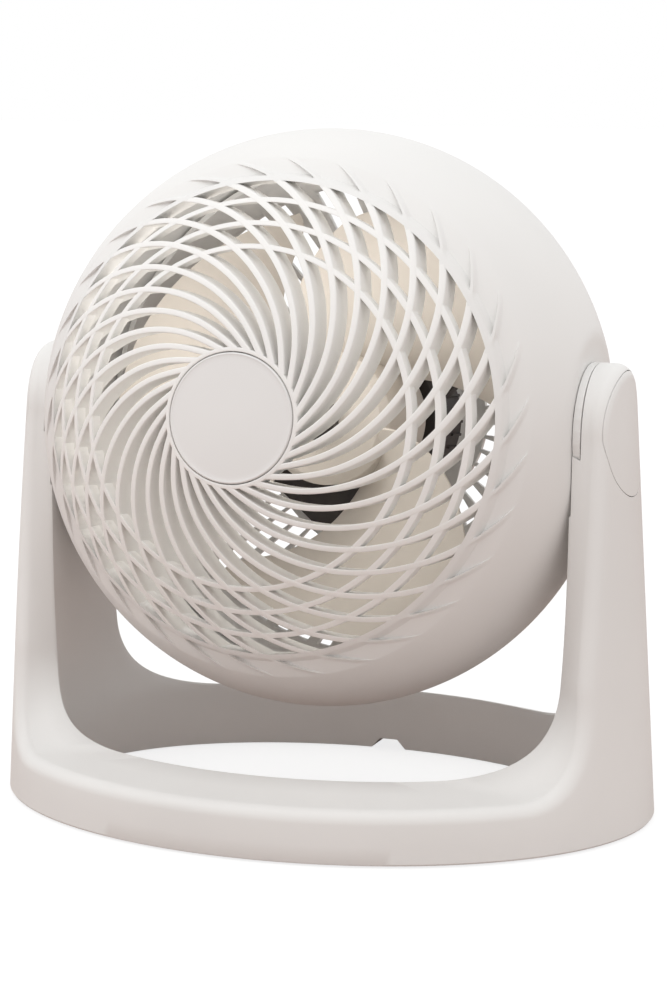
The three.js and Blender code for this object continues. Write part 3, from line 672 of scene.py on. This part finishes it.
def material(name, colour, roughness, metallic=0.0, grain=0.02):
    """Moulded plastic or metal: a little colour variation, uneven gloss and a fine surface grain."""
    m = bpy.data.materials.new(name)
    m.use_nodes = True
    nodes, links = m.node_tree.nodes, m.node_tree.links
    shader = nodes["Principled BSDF"]
    shader.inputs["Metallic"].default_value = metallic
    where = nodes.new("ShaderNodeTexCoord")
    cloud = nodes.new("ShaderNodeTexNoise")
    cloud.inputs["Scale"].default_value = 14.0
    cloud.inputs["Detail"].default_value = 3.0
    links.new(where.outputs["Object"], cloud.inputs["Vector"])
    ramp = nodes.new("ShaderNodeValToRGB")
    dark = tuple(c * (1 - MOTTLE) for c in colour)
    light = tuple(min(1.0, c * (1 + MOTTLE * 0.6)) for c in colour)
    ramp.color_ramp.elements[0].position, ramp.color_ramp.elements[0].color = 0.3, (*dark, 1)
    ramp.color_ramp.elements[1].position, ramp.color_ramp.elements[1].color = 0.7, (*light, 1)
    links.new(cloud.outputs["Fac"], ramp.inputs["Fac"])
    links.new(ramp.outputs["Color"], shader.inputs["Base Color"])
    gloss = nodes.new("ShaderNodeMapRange")
    gloss.inputs["To Min"].default_value = roughness - 0.05
    gloss.inputs["To Max"].default_value = roughness + 0.05
    links.new(cloud.outputs["Fac"], gloss.inputs["Value"])
    links.new(gloss.outputs["Result"], shader.inputs["Roughness"])
    fine = nodes.new("ShaderNodeTexNoise")
    fine.inputs["Scale"].default_value = GRAIN_SCALE
    fine.inputs["Detail"].default_value = 2.0
    links.new(where.outputs["Object"], fine.inputs["Vector"])
    bump = nodes.new("ShaderNodeBump")
    bump.inputs["Strength"].default_value = 0.35
    bump.inputs["Distance"].default_value = grain * MM
    links.new(fine.outputs["Fac"], bump.inputs["Height"])
    links.new(bump.outputs["Normal"], shader.inputs["Normal"])
    return m


SHELL = material("shell_plastic", (0.80, 0.792, 0.776), 0.42)
# painted light: the shell's plastic made paler, for the light that thin ribs let through
RIB_PAINTED_LIGHT = material("rib_plastic_painted_light", (0.855, 0.845, 0.825), 0.42)
STAND = material("stand_plastic", (0.80, 0.792, 0.776), 0.42)
INNER = material("blade_plastic", (0.69, 0.635, 0.57), 0.45)
DISC = material("disc_plastic", (0.79, 0.785, 0.775), 0.30, grain=0.008)
BLACK = material("black_metal", (0.035, 0.028, 0.026), 0.5, grain=0.04)
WASHER = material("washer_plastic", (0.03, 0.03, 0.03), 0.6)
STEEL = material("plain_steel", (0.55, 0.56, 0.57), 0.35, metallic=1.0, grain=0.01)
RUBBER = material("foot_rubber", (0.07, 0.07, 0.07), 0.85, grain=0.05)


def dress(obj, mat):
    obj.data.materials.clear()
    obj.data.materials.append(mat)


def piece(obj, body, mat, slot, *nodes):
    dress(obj, mat)
    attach(obj, body)
    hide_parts(*nodes)
    return obj


shell = piece(front_shell(), "head", SHELL, "shell", "front_shell")
# painted light: a paler colour on the ribs stands in for the light that thin ribs pass on; the same
# plastic as the shell
shell.data.materials.append(RIB_PAINTED_LIGHT)
axis = Vector(on_head(0, 0, 1)) - Vector(on_head(0, 0, 0))
axis.normalize()
# faces inside the last ring and in front of the head's centre get the painted-light colour
for polygon in shell.data.polygons:
    offset = polygon.center - Vector(on_head(0, 0, 0))
    if offset.cross(axis).length < (GRILLE_R - RING_W - 0.1) * MM and offset.dot(axis) > 0:
        polygon.material_index = 1
piece(hub_disc(), "head", DISC, "disc", "hub_disc")
piece(rear_cover(), "head", SHELL, "shell", "rear_cover")
piece(fan_rotor(), "rotor", INNER, "inner", "fan_rotor")
piece(motor(), "head", BLACK, "motor", "motor")
rings = motor_rings()
dress(rings, STEEL)
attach(rings, "head")
piece(stand(), "stand_body", STAND, "shell", "stand")
piece(pivot_cap(1), "stand_body", STAND, "shell", "pivot_cap_right")
piece(pivot_cap(-1), "stand_body", STAND, "shell", "pivot_cap_left")

NODE_LOOKS = {
    "base_cover": STAND, "foot_1": RUBBER, "foot_2": RUBBER, "foot_3": RUBBER, "foot_4": RUBBER,
    "pivot_disc_right": STAND, "pivot_disc_left": STAND,
    "friction_washer_right": WASHER, "friction_washer_left": WASHER,
    "pivot_screw_right": STEEL, "pivot_screw_left": STEEL,
    "motor_bearing": STEEL, "speed_switch": BLACK, "speed_knob": SHELL,
    "rotor_shaft": STEEL, "rotor_nut": BLACK,
}
for node, look in NODE_LOOKS.items():
    dress(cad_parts[node], look)
    soften(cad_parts[node], 32)

# ---------- floor, light and camera ----------

floor_mesh = bpy.data.meshes.new("floor")
floor_mesh.from_pydata([(-6, -6, 0), (6, -6, 0), (6, 6, 0), (-6, 6, 0)], [], [(0, 1, 2, 3)])
floor = bpy.data.objects.new("floor", floor_mesh)
bpy.context.scene.collection.objects.link(floor)
floor_look = bpy.data.materials.new("floor_white")
floor_look.use_nodes = True
nodes, links = floor_look.node_tree.nodes, floor_look.node_tree.links
nodes.clear()
out = nodes.new("ShaderNodeOutputMaterial")
diffuse = nodes.new("ShaderNodeBsdfDiffuse")
diffuse.inputs["Color"].default_value = (0.51, 0.41, 0.37, 1)
glow = nodes.new("ShaderNodeEmission")
glow.inputs["Strength"].default_value = 0.80
dim = nodes.new("ShaderNodeBsdfDiffuse")
dim.inputs["Color"].default_value = (0.25, 0.25, 0.25, 1)
add = nodes.new("ShaderNodeAddShader")
mix = nodes.new("ShaderNodeMixShader")
rays = nodes.new("ShaderNodeLightPath")
links.new(glow.outputs[0], add.inputs[0])
links.new(dim.outputs[0], add.inputs[1])
links.new(rays.outputs["Is Camera Ray"], mix.inputs[0])
links.new(diffuse.outputs[0], mix.inputs[1])
links.new(add.outputs[0], mix.inputs[2])
links.new(mix.outputs[0], out.inputs["Surface"])
floor_mesh.materials.append(floor_look)

scene = bpy.context.scene
world = bpy.data.worlds.new("studio")
scene.world = world
world.use_nodes = True
nodes, links = world.node_tree.nodes, world.node_tree.links
nodes.clear()
out = nodes.new("ShaderNodeOutputWorld")
ambient = nodes.new("ShaderNodeBackground")
ambient.inputs["Color"].default_value = (1, 1, 1, 1)
ambient.inputs["Strength"].default_value = 1.02
white = nodes.new("ShaderNodeBackground")
white.inputs["Color"].default_value = (1, 1, 1, 1)
white.inputs["Strength"].default_value = 1.0
mix = nodes.new("ShaderNodeMixShader")
rays = nodes.new("ShaderNodeLightPath")
either = nodes.new("ShaderNodeMath")
either.operation = "MAXIMUM"
both = nodes.new("ShaderNodeMath")
both.operation = "MAXIMUM"
links.new(rays.outputs["Is Camera Ray"], either.inputs[0])
links.new(rays.outputs["Is Glossy Ray"], either.inputs[1])
links.new(either.outputs[0], both.inputs[0])
links.new(rays.outputs["Is Transmission Ray"], both.inputs[1])
links.new(both.outputs[0], mix.inputs[0])
links.new(ambient.outputs[0], mix.inputs[1])
links.new(white.outputs[0], mix.inputs[2])
links.new(mix.outputs[0], out.inputs["Surface"])


def lamp(name, place, target, size, power, colour=(1, 1, 1)):
    data = bpy.data.lights.new(name, "AREA")
    data.shape = "DISK"
    data.size = size
    data.energy = power
    data.color = colour
    obj = bpy.data.objects.new(name, data)
    scene.collection.objects.link(obj)
    obj.location = place
    obj.rotation_mode = "QUATERNION"
    obj.rotation_quaternion = (Vector(target) - Vector(place)).to_track_quat("-Z", "Y")
    return obj


lamp("key", (-0.8, -0.9, 1.3), (0, 0, 0.13), 0.8, 2.0)
lamp("top", (0.1, -0.35, 0.95), (0, 0, 0.15), 0.7, 0.75)
lamp("left", (-1.3, -0.3, 0.8), (0, 0, 0.13), 0.9, 0.7)
# weak lamps inside the head stand in for the light that thin white walls let through
FILLS = (("fill_upper", -30, 26, 0.076), ("fill_lower", -30, -24, 0.014), ("fill_right", 28, 38, 0.046))
for name, x, y, power in FILLS:
    fill = bpy.data.lights.new(name, "POINT")
    fill.energy = power
    fill.shadow_soft_size = 0.04
    fill.color = (1, 0.985, 0.96)
    inside = bpy.data.objects.new(name, fill)
    scene.collection.objects.link(inside)
    inside.location = on_head(x, y, 36)
    inside.visible_camera = False
    inside.visible_glossy = False

AZ, EL = math.radians(20.36), math.radians(9.57)
FOCAL_PX, IMAGE_H_PX = 2882.28, 1000
cam_data = bpy.data.cameras.new("camera")
cam_data.sensor_fit = "AUTO"
cam_data.sensor_width = 36.0
cam_data.lens = FOCAL_PX / IMAGE_H_PX * 36.0
cam_data.clip_start, cam_data.clip_end = 0.05, 50
camera = bpy.data.objects.new("camera", cam_data)
scene.collection.objects.link(camera)
camera.location = (0.35709, -0.95512, 0.28079)
camera.rotation_euler = (math.pi / 2 - EL, 0, AZ)
scene.camera = camera
scene.view_settings.view_transform = "Standard"
